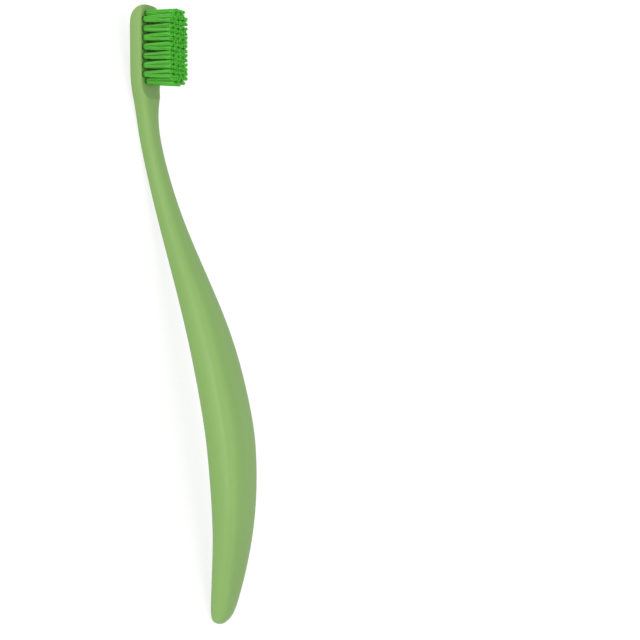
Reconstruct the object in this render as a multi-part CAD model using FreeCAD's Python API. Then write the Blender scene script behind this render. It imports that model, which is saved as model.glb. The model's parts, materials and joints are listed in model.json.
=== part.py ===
import FreeCAD, Part
import math
import os

# A manual toothbrush that lies on its back with its bristles up, in millimetres.
# X runs along the brush from the head to the end of the grip, Y runs across it and Z is up.
# It is first drawn with the tuft face level at Z = 0 and the end of the head at X = 0, then laid down.

# Tuft field: rows of four tufts, and at each end a row of three that stand between their neighbours
full_rows = 7
columns = 4
row_pitch = 2.7
column_pitch = 3.05
end_row_step = 1.9
tuft_height = 9.6
tuft_diameter = 1.7
hole_clearance = 0.05
tip_clearance = 0.1
lean_limit_degrees = 15.0

# Head: the plastic left round and under the holes, and what is pared off its crowned face and back
side_border = 0.83
nose_border = 1.95
heel_border = 0.2
head_thickness = 4.5
hole_floor = 1.1
face_crown = 1.3
back_crown = 0.2
nose_flat_width = 2.4
nose_flat_drop = 0.85
ramp_radius = 8.0
ramp_degrees = 40.0
rim_radius = 0.5

# Neck: its narrowest place lies one throat length behind the heel of the head
throat_length = 19.8
neck_width = 7.0
neck_depth = 5.2
neck_rise = 0.2

# Grip: the whole length lies along the head, and the widest place is one tail length from the end
brush_length = 190.0
tail_length = 63.0
grip_width = 19.5
grip_depth = 11.7
grip_rise = 26.7
end_flat_width = 1.6

# Anchor plate that holds the fold of each tuft
anchor_thickness = 0.3
anchor_bite = 0.2

# One overrun serves all cuts, and one tolerance finds how the brush rests
overrun = 2.0
rest_tolerance = 0.02

# Shares of the way from the heel of the head to the neck, and of the change by then
throat_place_shares = (0.30, 0.62)
throat_width_shares = (0.74, 1.02)
throat_depth_shares = (1.0, 1.12)
throat_rise_shares = (0.05, 0.265)

# Shares of the way from the neck to the widest place of the grip, and of the growth by then
shank_place_shares = (0.0, 0.15, 0.29, 0.43, 0.58, 0.75)
shank_width_shares = (0.0, 0.06, 0.20, 0.39, 0.62, 0.86)
shank_depth_shares = (0.0, 0.07, 0.22, 0.46, 0.73, 0.92)
shank_rise_shares = (0.0, 0.13, 0.28, 0.455, 0.64, 0.82)

# Shares of the way from the widest place to the end, and of the grip's width, depth and rise there
tail_place_shares = (0.0, 0.18, 0.36, 0.55, 0.73, 0.88, 1.0)
tail_width_shares = (1.0, 0.99, 0.95, 0.87, 0.77, 0.62, 0.46)
tail_depth_shares = (1.0, 0.98, 0.92, 0.81, 0.70, 0.58, 0.45)
tail_rise_shares = (1.0, 1.04, 1.06, 1.05, 1.0, 0.945, 0.895)

# Shares of the head's length, width and depth that round off its end, from the back up to the face
nose_place_shares = (0.0, 0.085, 0.32, 0.70)
nose_width_shares = (0.72, 1.0, 1.0, 1.0)
nose_depth_shares = (0.46, 1.02, 1.0, 1.0)

# Section of the handle: a rounded oblong, squarer on the head than on the grip
poles_round = 16
head_squareness = 4.0
grip_squareness = 3.0

# Share of the root's height that the anchor plate takes, and of the root that lies below it
anchor_height_share = 0.5
fold_height_share = 0.18

# Worked out from the sizes above
lean_limit = math.radians(lean_limit_degrees)
hole_radius = tuft_diameter / 2 + hole_clearance
hole_depth = head_thickness - hole_floor
root_radius = tuft_diameter / 2
foot_radius = root_radius - hole_clearance
end_pitch = math.hypot(end_row_step * math.cos(lean_limit), column_pitch / 2)
closest_pitch = min(row_pitch * math.cos(lean_limit), column_pitch, end_pitch)
tip_radius = (closest_pitch - tip_clearance) / 2
root_height = hole_depth - foot_radius - hole_clearance
anchor_height = root_height * anchor_height_share
anchor_width = 2 * (hole_radius + anchor_bite)
fold_height = root_height * fold_height_share
first_row = nose_border + hole_radius
field_length = (full_rows - 1) * row_pitch + 2 * end_row_step
head_length = first_row + field_length + hole_radius + heel_border
head_width = (columns - 1) * column_pitch + 2 * (hole_radius + side_border)
neck_place = head_length + throat_length
grip_place = brush_length - tail_length
head_depth = head_thickness + face_crown + back_crown
head_rise = face_crown - head_depth / 2


def mixed(start, end, share):
    """The value that lies this share of the way from start to end."""
    return start + (end - start) * share


def ring(place, width, depth, rise, squareness):
    """Control points of one section of the handle, square to its length."""
    turn = 2 * math.pi / poles_round
    power = 2 / squareness
    # A cubic skin passes a little inside its control points, so they are set that much further out
    skin_share = (2 + math.cos(turn) ** power) / 3
    half_width = width / (2 * skin_share)
    half_depth = depth / (2 * skin_share)
    points = []
    for step in range(poles_round):
        across = math.cos(step * turn)
        upward = math.sin(step * turn)
        y = math.copysign(abs(across) ** power, across) * half_width
        z = math.copysign(abs(upward) ** power, upward) * half_depth
        points.append(FreeCAD.Vector(place, y, rise + z))
    return points


def handle_rings():
    """Sections of the handle in order, from the end of the head to the end of the grip."""
    nose_depth = head_depth * nose_flat_width / head_width
    rings = [ring(0, nose_flat_width, nose_depth, -nose_flat_drop, head_squareness)]
    for place, width, depth in zip(nose_place_shares, nose_width_shares, nose_depth_shares):
        rise = face_crown - head_depth * depth / 2
        rings.append(ring(head_length * place, head_width * width, head_depth * depth, rise, head_squareness))
    rings.append(ring(head_length, head_width, head_depth, head_rise, head_squareness))
    for place, width, depth, rise in zip(
            throat_place_shares, throat_width_shares, throat_depth_shares, throat_rise_shares):
        rings.append(ring(
            mixed(head_length, neck_place, place),
            mixed(head_width, neck_width, width),
            mixed(head_depth, neck_depth, depth),
            mixed(head_rise, neck_rise, rise),
            mixed(head_squareness, grip_squareness, place)))
    for place, width, depth, rise in zip(
            shank_place_shares, shank_width_shares, shank_depth_shares, shank_rise_shares):
        rings.append(ring(
            mixed(neck_place, grip_place, place),
            mixed(neck_width, grip_width, width),
            mixed(neck_depth, grip_depth, depth),
            mixed(neck_rise, grip_rise, rise),
            grip_squareness))
    for place, width, depth, rise in zip(
            tail_place_shares, tail_width_shares, tail_depth_shares, tail_rise_shares):
        rings.append(ring(
            mixed(grip_place, brush_length, place),
            grip_width * width,
            grip_depth * depth,
            grip_rise * rise,
            grip_squareness))
    end_depth = grip_depth * end_flat_width / grip_width
    end_rise = grip_rise * tail_rise_shares[-1]
    rings.append(ring(brush_length, end_flat_width, end_depth, end_rise, grip_squareness))
    return rings


def smooth_solid(rings):
    """One smooth closed surface through rings of control points, with a small flat at each end."""
    degree = 3
    poles = [list(line) for line in zip(*rings)]
    spans = len(rings) - degree
    surface = Part.BSplineSurface()
    surface.buildFromPolesMultsKnots(
        poles,
        [1] * (poles_round + 1),
        [degree + 1] + [1] * (spans - 1) + [degree + 1],
        list(range(poles_round + 1)),
        list(range(spans + 1)),
        True,
        False,
        degree,
        degree)
    skin = surface.toShape()
    closed_edges = [edge for edge in skin.Edges if edge.isClosed()]
    caps = [Part.Face(Part.Wire([edge])) for edge in closed_edges]
    shell = Part.Shell([skin] + caps)
    shell.sewShape()
    solid = Part.Solid(shell)
    if solid.Volume < 0:
        solid.reverse()
    return solid


def face_cutter():
    """What is taken off above the tuft face, with a hollow ramp up to the neck."""
    ramp_angle = math.radians(ramp_degrees)
    side = -head_width
    reach = ramp_radius * math.sin(ramp_angle)
    climb = ramp_radius * (1 - math.cos(ramp_angle))
    half_reach = ramp_radius * math.sin(ramp_angle / 2)
    half_climb = ramp_radius * (1 - math.cos(ramp_angle / 2))
    start = FreeCAD.Vector(-overrun, side, 0)
    heel = FreeCAD.Vector(head_length, side, 0)
    middle = FreeCAD.Vector(head_length + half_reach, side, half_climb)
    top = FreeCAD.Vector(head_length + reach, side, climb)
    above_top = FreeCAD.Vector(head_length + reach, side, climb + overrun)
    above_start = FreeCAD.Vector(-overrun, side, climb + overrun)
    outline = Part.Wire([
        Part.LineSegment(start, heel).toShape(),
        Part.Arc(heel, middle, top).toShape(),
        Part.LineSegment(top, above_top).toShape(),
        Part.LineSegment(above_top, above_start).toShape(),
        Part.LineSegment(above_start, start).toShape()])
    return Part.Face(outline).extrude(FreeCAD.Vector(0, 2 * head_width, 0))


def back_cutter():
    """What is taken off below the flat back of the head, which runs out where the neck rises."""
    block = Part.makeBox(neck_place + overrun, 2 * head_width, back_crown + overrun)
    block.translate(FreeCAD.Vector(-overrun, -head_width, -head_thickness - back_crown - overrun))
    return block


def face_rim(body):
    """Edges that the outer skin shares with the tuft face and its ramp, which both start at Z = 0."""
    skin_edges = []
    face_edges = []
    for face in body.Faces:
        if isinstance(face.Surface, Part.BSplineSurface):
            skin_edges += face.Edges
        elif abs(face.BoundBox.ZMin) < rim_radius:
            face_edges += face.Edges
    return [edge for edge in face_edges if any(edge.isSame(other) for other in skin_edges)]


def tuft_places():
    """Row, column and centre of every tuft on the tuft face."""
    places = []
    last_row = full_rows + 1
    for row in range(last_row + 1):
        if row in (0, last_row):
            x = first_row + (field_length if row else 0)
            count = columns - 1
        else:
            x = first_row + end_row_step + (row - 1) * row_pitch
            count = columns
        for column in range(count):
            y = (column - (count - 1) / 2) * column_pitch
            places.append((row + 1, column + 1, FreeCAD.Vector(x, y, 0)))
    return places


def tuft_hole(centre):
    """Blind hole for one tuft, open at the tuft face."""
    base = centre - FreeCAD.Vector(0, 0, hole_depth)
    return Part.makeCylinder(hole_radius, hole_depth + overrun, base)


def free_tuft(centre):
    """The bristles above the hole: a bundle on a round foot that spreads towards its tips."""
    bundle = Part.makeCone(foot_radius, tip_radius, tuft_height, centre)
    foot = Part.makeSphere(foot_radius, centre, FreeCAD.Vector(0, 0, 1), -90, 0, 360)
    return bundle.fuse(foot).removeSplitter()


def anchor_plate(centre):
    """Flat strip driven across the hole, inside the fold of the tuft."""
    plate = Part.makeBox(anchor_thickness, anchor_width, anchor_height)
    plate.translate(centre + FreeCAD.Vector(
        -anchor_thickness / 2, -anchor_width / 2, fold_height - hole_depth))
    return plate


def tuft_root(centre):
    """Folded lower end of a tuft, which fills its hole and is parted by the anchor plate."""
    base = centre - FreeCAD.Vector(0, 0, hole_depth)
    return Part.makeCylinder(root_radius, root_height, base).cut(anchor_plate(centre))


def moulded_handle(places):
    """Head, neck and grip in one piece, with its tuft holes and the slots that the anchors bite."""
    body = smooth_solid(handle_rings()).cut([face_cutter(), back_cutter()]).Solids[0]
    body = body.makeFillet(rim_radius, face_rim(body))
    cuts = []
    for row, column, centre in places:
        cuts.append(tuft_hole(centre))
        cuts.append(anchor_plate(centre))
    return body.cut(cuts).Solids[0]


def lower_outline(points):
    """The points, from left to right, that a straightedge laid under the side view would touch."""
    kept = []
    for point in sorted(points):
        while len(kept) > 1:
            (x1, z1), (x2, z2) = kept[-2:]
            if (x2 - x1) * (point[1] - z1) > (z2 - z1) * (point[0] - x1):
                break
            kept.pop()
        kept.append(point)
    return kept


def resting_tilt(handle):
    """Angle that brings the two places the brush rests on, either side of its balance, level."""
    outline = lower_outline([(point.x, point.z) for point in handle.tessellate(rest_tolerance)[0]])
    balance = handle.CenterOfMass.x
    for (x1, z1), (x2, z2) in zip(outline, outline[1:]):
        if x1 <= balance <= x2:
            return math.atan2(z2 - z1, x2 - x1)


def laid_down(shapes):
    """Placement that lays the level brush on its back, with the origin below the middle of its box."""
    turn = FreeCAD.Rotation(FreeCAD.Vector(0, 1, 0), math.degrees(resting_tilt(shapes["handle"])))
    turned = Part.makeCompound(list(shapes.values()))
    turned.Placement = FreeCAD.Placement(FreeCAD.Vector(0, 0, 0), turn)
    box = turned.optimalBoundingBox(False, False)
    return FreeCAD.Placement(FreeCAD.Vector(-box.Center.x, 0, -box.ZMin), turn)


def print_places(places, placement):
    """Hinge line of each row of bristles, and the places where the brush is held."""
    rows = {row: centre for row, column, centre in places}
    for row, centre in rows.items():
        hinge = placement.multVec(FreeCAD.Vector(centre.x, 0, 0))
        print("row %d bends about x %.3f z %.3f" % (row, hinge.x, hinge.z))
    back = placement.multVec(FreeCAD.Vector(head_length / 2, 0, -head_thickness))
    outward = placement.Rotation.multVec(FreeCAD.Vector(0, 0, -1))
    neck = placement.multVec(FreeCAD.Vector(neck_place, 0, neck_rise))
    grip = placement.multVec(FreeCAD.Vector(grip_place, 0, grip_rise))
    print("head back", back, "outward", outward)
    print("neck", neck)
    print("grip", grip)


def main():
    os.makedirs("parts", exist_ok=True)
    places = tuft_places()
    shapes = {"handle": moulded_handle(places)}
    for row, column, centre in places:
        shapes["tuft_row_%d_column_%d" % (row, column)] = free_tuft(centre)
    shapes["anchor_plates"] = Part.makeCompound([anchor_plate(centre) for row, column, centre in places])
    shapes["tuft_roots"] = Part.makeCompound([tuft_root(centre) for row, column, centre in places])
    placement = laid_down(shapes)
    for name, shape in shapes.items():
        shape.Placement = placement.multiply(shape.Placement)
        shape.exportStep("parts/%s.step" % name)
        print(name, len(shape.Solids), "solids", round(shape.Volume, 2), "mm3 valid", shape.isValid())
    print_places(places, placement)


main()
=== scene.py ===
import bpy
import bmesh
import json
import math
import random
from mathutils import Matrix, Vector


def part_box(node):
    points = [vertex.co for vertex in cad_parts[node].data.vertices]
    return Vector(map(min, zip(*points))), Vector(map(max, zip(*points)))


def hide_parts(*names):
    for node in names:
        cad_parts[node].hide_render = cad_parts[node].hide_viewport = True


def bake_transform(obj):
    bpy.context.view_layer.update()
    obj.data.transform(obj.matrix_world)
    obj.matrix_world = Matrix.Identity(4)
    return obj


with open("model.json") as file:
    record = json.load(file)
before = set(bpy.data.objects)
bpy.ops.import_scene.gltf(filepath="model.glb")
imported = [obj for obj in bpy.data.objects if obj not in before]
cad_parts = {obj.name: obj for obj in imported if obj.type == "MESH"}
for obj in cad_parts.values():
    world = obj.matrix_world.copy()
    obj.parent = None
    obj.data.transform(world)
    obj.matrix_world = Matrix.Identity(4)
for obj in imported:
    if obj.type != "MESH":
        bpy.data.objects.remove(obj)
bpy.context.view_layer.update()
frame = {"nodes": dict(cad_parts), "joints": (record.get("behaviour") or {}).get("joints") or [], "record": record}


# Handle
# Head, neck and grip are one injection moulding in tinted polypropylene.
# The mould has a fine sparked finish, so the skin is matt, and the plastic's flow shows faintly along it.

flow_scale = (18.0, 130.0, 130.0)
flow_stops = (
    (0.25, (0.222, 0.400, 0.106, 1.0)),
    (0.75, (0.244, 0.428, 0.122, 1.0)),
)
spark_scale = 3200.0
spark_strength = 0.12
spark_depth = 0.00006
skin_sheen = (0.36, 0.52)
skin_gloss = 0.4


def node_adder(tree):
    """A tool that adds one node to the tree, sets it and links it."""
    def add(kind, values=None, links=None, **settings):
        node = tree.nodes.new(kind)
        for setting, value in settings.items():
            setattr(node, setting, value)
        for socket, value in (values or {}).items():
            node.inputs[socket].default_value = value
        for socket, source in (links or {}).items():
            tree.links.new(source, node.inputs[socket])
        return node
    return add


def plain_shader(name, roughness):
    """A new material with its shader, and the tool that adds its nodes."""
    material = bpy.data.materials.new(name)
    material.use_nodes = True
    tree = material.node_tree
    shader = tree.nodes["Principled BSDF"]
    shader.inputs["Roughness"].default_value = roughness
    return material, tree, shader, node_adder(tree)


def drawn_out_noise(add, place, scale, detail, roughness):
    """Noise that is stretched along the axes where its scale is small."""
    stretched = add("ShaderNodeMapping", {"Scale": scale}, {"Vector": place}).outputs["Vector"]
    values = {"Scale": 1.0, "Detail": detail, "Roughness": roughness}
    return add("ShaderNodeTexNoise", values, {"Vector": stretched}).outputs["Fac"]


def stepped_colour(add, source, stops):
    """A colour that goes from stop to stop as the source rises. Each stop is a place and its colour."""
    node = add("ShaderNodeValToRGB", links={"Fac": source})
    elements = node.color_ramp.elements
    elements[0].position, elements[0].color = stops[0]
    elements[1].position, elements[1].color = stops[-1]
    for place, colour in stops[1:-1]:
        elements.new(place).color = colour
    return node.outputs["Color"]


def ranged(add, source, low, high):
    """A value that goes from low to high as the source goes from zero to one."""
    return add("ShaderNodeMapRange", {"To Min": low, "To Max": high}, {"Value": source}).outputs["Result"]


def sparked_plastic():
    """Matt moulded plastic: flow streaks along the brush, a fine sparked skin and its uneven sheen."""
    material, tree, shader, add = plain_shader("green_moulded_plastic", roughness=0.5)
    place = add("ShaderNodeTexCoord").outputs["Object"]
    flow = drawn_out_noise(add, place, flow_scale, detail=3.0, roughness=0.5)
    tint = stepped_colour(add, flow, flow_stops)
    spark_values = {"Scale": spark_scale, "Detail": 2.0, "Roughness": 0.6}
    spark = add("ShaderNodeTexNoise", spark_values, {"Vector": place}).outputs["Fac"]
    bump = add("ShaderNodeBump", {"Strength": spark_strength, "Distance": spark_depth}, {"Height": spark})
    tree.links.new(tint, shader.inputs["Base Color"])
    tree.links.new(ranged(add, spark, *skin_sheen), shader.inputs["Roughness"])
    tree.links.new(bump.outputs["Normal"], shader.inputs["Normal"])
    shader.inputs["Specular IOR Level"].default_value = skin_gloss
    return material


def coat(node, material):
    """Gives one solid of the frame its material."""
    mesh = frame["nodes"][node].data
    mesh.materials.clear()
    mesh.materials.append(material)


coat("handle", sparked_plastic())


# Anchor plates
# Small strips of rolled brass, cut square and driven across each hole inside the fold of its tuft.
# Their ends bite into the plastic on both sides of the hole, which holds the tuft without glue.

roll_scale = (40000.0, 1500.0, 40000.0)
brass_stops = (
    (0.0, (0.52, 0.33, 0.10, 1.0)),
    (1.0, (0.72, 0.51, 0.20, 1.0)),
)
brass_sheen = (0.22, 0.42)


def rolled_brass():
    """Brass strip with the fine lines of the rolls along it."""
    material, tree, shader, add = plain_shader("rolled_brass", roughness=0.3)
    place = add("ShaderNodeTexCoord").outputs["Object"]
    lines = drawn_out_noise(add, place, roll_scale, detail=2.0, roughness=0.6)
    tree.links.new(stepped_colour(add, lines, brass_stops), shader.inputs["Base Color"])
    tree.links.new(ranged(add, lines, *brass_sheen), shader.inputs["Roughness"])
    shader.inputs["Metallic"].default_value = 1.0
    return material


coat("anchor_plates", rolled_brass())


# Tuft roots
# The folded lower end of each bundle of nylon, packed tight in its blind hole and out of sight.
# It is the same filaments as the tuft above it, pressed against the wall of the hole by the anchor plate.

packing_scale = (5000.0, 5000.0, 300.0)
packing_stops = (
    (0.0, (0.030, 0.200, 0.012, 1.0)),
    (1.0, (0.130, 0.500, 0.070, 1.0)),
)
packing_strength = 0.3
packing_depth = 0.00005


def packed_nylon():
    """Filaments pressed together in the hole: lines along the bristles, a filament apart."""
    material, tree, shader, add = plain_shader("packed_green_nylon", roughness=0.45)
    place = add("ShaderNodeTexCoord").outputs["Object"]
    cells = drawn_out_noise(add, place, packing_scale, detail=1.0, roughness=0.5)
    bump = add("ShaderNodeBump", {"Strength": packing_strength, "Distance": packing_depth}, {"Height": cells})
    tree.links.new(stepped_colour(add, cells, packing_stops), shader.inputs["Base Color"])
    tree.links.new(bump.outputs["Normal"], shader.inputs["Normal"])
    return material


coat("tuft_roots", packed_nylon())


# Bristle tufts
# Each tuft is a bundle of round nylon filaments that fills its hole and spreads towards the tips.
# The tips are ground round and trimmed level, and the loose filaments bend from the mouth of the hole.

# One tuft: its sizes are in metres, and the other values are counts, shares and powers
filament_radius = 0.00010
filament_sides = 6
filament_count = 84
filament_steps = 6
filament_seed = 32
hole_start = -0.0007
mouth_spread = 0.00086
tip_spread_along = 0.00136
tip_spread_across = 0.00140
tip_scatter = 0.94
turn_scatter = 0.2
square_power = 0.4
swell_power = 0.85
bow_size = 0.00004
tuft_sway = 0.00003
trim_height = 0.0096
trim_loss = 0.00015
tip_round = 0.55
tip_dome = Vector((0, 0, (1 - tip_round / 2) * filament_radius))

# Tufts that differ: narrower ones at the ends and on the near side, and tips that stand off along the brush
end_row_share = 0.9
near_column_share = 0.9
near_column_edge = -0.004
row_leans = {"bristle_row_1": -0.00015, "bristle_row_9": 0.00040}
tuft_leans = {
    "tuft_row_1_column_1": 0.00045,
    "tuft_row_2_column_4": -0.00012,
    "tuft_row_3_column_4": 0.00010,
    "tuft_row_4_column_1": -0.00010,
    "tuft_row_5_column_1": 0.00012,
    "tuft_row_9_column_3": -0.00075,
}

# Looks of a filament by its height, from the mouth of the hole to the ground tip, with painted shade at both ends
nylon_stops_with_painted_shade = (
    (0.035, (0.022, 0.220, 0.008, 1.0)),
    (0.085, (0.122, 0.565, 0.058, 1.0)),
    (0.96, (0.130, 0.580, 0.066, 1.0)),
    (1.0, (0.085, 0.530, 0.026, 1.0)),
)
shade_range = (0.85, 1.15)
draw_scale = 2600.0
nylon_sheen = (0.28, 0.42)
nylon_gloss = 0.3
clear_share = 0.8
clear_reach = (0.3, 1.0, 0.2)
clear_depth = 0.0004

bristle_up = -Vector(next(m["axis"] for m in frame["record"]["mounts"] if m["name"] == "head_back"))
bristle_frame = Matrix((bristle_up.cross(Vector((0, -1, 0))), Vector((0, 1, 0)), bristle_up)).transposed()
golden_turn = math.pi * (3 - math.sqrt(5))


def drawn_nylon():
    """Clear green nylon, with painted shade at the hole and at the tips, each filament in its own tone."""
    material, tree, shader, add = plain_shader("green_nylon_filament", roughness=0.35)
    height = add("ShaderNodeAttribute", attribute_name="filament_height").outputs["Fac"]
    shade = add("ShaderNodeAttribute", attribute_name="filament_shade").outputs["Fac"]
    # By height: painted shade where the filament leaves the hole and between the tips, the nylon's own green
    # between them
    lively = add("ShaderNodeHueSaturation", links={
        "Color": stepped_colour(add, height, nylon_stops_with_painted_shade),
        "Value": ranged(add, shade, *shade_range)})
    place = add("ShaderNodeTexCoord").outputs["Object"]
    draw = add("ShaderNodeTexNoise", {"Scale": draw_scale, "Detail": 1.0}, {"Vector": place}).outputs["Fac"]
    tree.links.new(lively.outputs["Color"], shader.inputs["Base Color"])
    tree.links.new(ranged(add, draw, *nylon_sheen), shader.inputs["Roughness"])
    shader.inputs["Subsurface Weight"].default_value = clear_share
    shader.inputs["Subsurface Radius"].default_value = clear_reach
    shader.inputs["Subsurface Scale"].default_value = clear_depth
    shader.inputs["Specular IOR Level"].default_value = nylon_gloss
    return material


def rounded_square(angle):
    """A point of the tuft's trimmed end, which the flat anchor fans out to a rounded square."""
    return Vector((
        math.copysign(abs(math.cos(angle)) ** square_power, math.cos(angle)),
        math.copysign(abs(math.sin(angle)) ** square_power, math.sin(angle)),
        0))


def filament_paths(spread, lean, chance):
    """The line of each filament of one tuft, from inside the hole to its tip."""
    paths = []
    for number in range(filament_count):
        reach = math.sqrt((number + 0.5) / filament_count)
        angle = number * golden_turn + chance.uniform(-turn_scatter, turn_scatter)
        root = Vector((math.cos(angle), math.sin(angle), 0)) * reach * (mouth_spread - filament_radius)
        tip = rounded_square(angle) * reach * spread * chance.uniform(tip_scatter, 1)
        tip = Vector((tip.x * tip_spread_along, tip.y * tip_spread_across, 0)) + lean
        bow = Vector((chance.gauss(0, 1), chance.gauss(0, 1), 0)) * bow_size
        climb = Vector((0, 0, trim_height - filament_radius - chance.uniform(0, trim_loss)))
        path = [root + Vector((0, 0, hole_start))]
        for step in range(filament_steps):
            share = step / (filament_steps - 1)
            line = root.lerp(tip, share ** swell_power) + climb * share
            path.append(line + bow * 4 * share * (1 - share))
        paths.append(path)
    return paths


def bristle_tuft(node, mouth, spread, lean, material, chance):
    """The loose filaments of one tuft: rings drawn out along their lines, with round ends."""
    paths = filament_paths(spread, lean, chance)
    tuft = bmesh.new()
    number_of = tuft.verts.layers.int.new("filament_number")
    shade_of = tuft.verts.layers.float.new("filament_shade")
    height_of = tuft.verts.layers.float.new("filament_height")
    for number, path in enumerate(paths):
        shade = chance.random()
        start = Matrix.Translation(path[0])
        ring = bmesh.ops.create_circle(tuft, segments=filament_sides, radius=filament_radius, matrix=start)
        for vert in ring["verts"]:
            vert[number_of] = number
            vert[shade_of] = shade
    rim = tuft.edges[:]
    for step in range(1, filament_steps + 2):
        grown = bmesh.ops.extrude_edge_only(tuft, edges=rim)["geom"]
        verts = {part for part in grown if isinstance(part, bmesh.types.BMVert)}
        edges = [part for part in grown if isinstance(part, bmesh.types.BMEdge)]
        rim = [edge for edge in edges if verts.issuperset(edge.verts)]
        for vert in verts:
            path = paths[vert[number_of]]
            if step > filament_steps:
                vert.co = path[-1].lerp(vert.co, tip_round) + tip_dome
            else:
                vert.co += path[step] - path[step - 1]
    for vert in tuft.verts:
        vert[height_of] = vert.co.z / trim_height
    bmesh.ops.holes_fill(tuft, edges=rim, sides=filament_sides)
    bmesh.ops.transform(tuft, matrix=Matrix.Translation(mouth) @ bristle_frame.to_4x4(), verts=tuft.verts)
    bmesh.ops.recalc_face_normals(tuft, faces=tuft.faces)
    for face in tuft.faces:
        face.smooth = True
    tuft.verts.layers.int.remove(number_of)
    mesh = bpy.data.meshes.new(node.replace("tuft", "bristles"))
    tuft.to_mesh(mesh)
    tuft.free()
    mesh.materials.append(material)
    piece = bpy.data.objects.new(mesh.name, mesh)
    bpy.context.scene.collection.objects.link(piece)
    return piece


nylon = drawn_nylon()
chance = random.Random(filament_seed)
for joint in frame["joints"]:
    row = joint["child"]
    for node in frame["record"]["behaviour"]["bodies"][row]:
        low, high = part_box(node)
        mouth = Vector((joint["pos_m"][0], (low.y + high.y) / 2, joint["pos_m"][2]))
        lean = Vector((chance.gauss(row_leans.get(row, 0), tuft_sway), chance.gauss(0, tuft_sway), 0))
        lean.x += tuft_leans.get(node, 0)
        spread = 1
        if row in row_leans:
            spread = end_row_share
        elif mouth.y < near_column_edge:
            spread = near_column_share
        tuft = bristle_tuft(node, mouth, spread, lean, nylon, chance)
        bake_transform(tuft)
        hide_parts(node)


# Studio
# A white paper floor that runs out of the picture, under even light from all round.
# Soft boxes stand at the side of the brush that shows, over it and, weakly, behind it.

floor_size = 4.0
white = (1.0, 1.0, 1.0, 1.0)
lamp_target = Vector((0.0, 0.0, 0.01))
lamps = {
    "side_lamp": {"place": (-0.05, -1.0, 0.13), "width": 1.0, "height": 0.25, "watts": 4.1},
    "top_lamp": {"place": (0.0, -0.25, 0.95), "width": 3.6, "height": 1.0, "watts": 8.2},
    "back_lamp": {"place": (0.1, 1.0, 0.3), "width": 1.0, "height": 0.4, "watts": 0.4},
}

# Each pair of levels is for the rays of the lighting, then for the rays that show.
# The sky's second level is for the picture alone, so that its reflection leaves the brush its colour.
paper_levels = (0.82, 0.20)
glow_levels = (0.0, 0.85)
sky_levels = (0.58, 1.0)

floor_mesh = bpy.data.meshes.new("floor")
floor_shape = bmesh.new()
bmesh.ops.create_grid(floor_shape, x_segments=1, y_segments=1, size=floor_size)
floor_shape.to_mesh(floor_mesh)
floor_shape.free()
floor = bpy.data.objects.new("floor", floor_mesh)
bpy.context.scene.collection.objects.link(floor)


def rays_that_show(add):
    """One for a ray of the picture, a reflection or a clear piece, and zero for a ray of the lighting."""
    path = add("ShaderNodeLightPath")
    seen = add(
        "ShaderNodeMath",
        links={0: path.outputs["Is Camera Ray"], 1: path.outputs["Is Glossy Ray"]},
        operation="MAXIMUM")
    shown = add(
        "ShaderNodeMath",
        links={0: seen.outputs[0], 1: path.outputs["Is Transmission Ray"]},
        operation="MAXIMUM")
    return shown.outputs[0]


def white_sweep():
    """White paper that stays white in the picture and takes a faint shadow."""
    material, tree, shader, add = plain_shader("white_paper", roughness=0.9)
    shown = rays_that_show(add)
    shader.inputs["Emission Color"].default_value = white
    tree.links.new(ranged(add, shown, *paper_levels), shader.inputs["Base Color"])
    tree.links.new(ranged(add, shown, *glow_levels), shader.inputs["Emission Strength"])
    return material


floor_mesh.materials.append(white_sweep())


def soft_box(name, place, width, height, watts):
    """A rectangular soft box that faces the brush."""
    lamp = bpy.data.lights.new(name, "AREA")
    lamp.shape = "RECTANGLE"
    lamp.size = width
    lamp.size_y = height
    lamp.energy = watts
    box = bpy.data.objects.new(name, lamp)
    box.location = place
    box.rotation_euler = (lamp_target - box.location).to_track_quat("-Z", "Y").to_euler()
    bpy.context.scene.collection.objects.link(box)


for name, lamp in lamps.items():
    soft_box(name, **lamp)

world = bpy.data.worlds.new("studio")
world.use_nodes = True
sky = world.node_tree.nodes["Background"]
sky.inputs["Color"].default_value = white
add = node_adder(world.node_tree)
in_picture = add("ShaderNodeLightPath").outputs["Is Camera Ray"]
world.node_tree.links.new(ranged(add, in_picture, *sky_levels), sky.inputs["Strength"])
bpy.context.scene.world = world
bpy.context.scene.view_settings.view_transform = "Standard"


# Camera
# It looks at the side of the brush from a little above, with the head at the top of the picture.
# Its place, turn and lens were fitted to the outline of the brush in the photo.

camera_place = Vector((-0.01296, -0.32697, 0.18319))
camera_right = Vector((0.1441, 0.3675, 0.9188))
camera_up = Vector((-0.9882, 0.1022, 0.1141))
sensor_width_mm = 36.0
lens_mm = 67.57

camera_data = bpy.data.cameras.new("camera")
camera_data.sensor_width = sensor_width_mm
camera_data.lens = lens_mm
camera = bpy.data.objects.new("camera", camera_data)
camera_back = camera_right.cross(camera_up)
turn = Matrix((camera_right, camera_up, camera_back)).transposed().to_4x4()
camera.matrix_world = Matrix.Translation(camera_place) @ turn
bpy.context.scene.collection.objects.link(camera)
bpy.context.scene.camera = camera
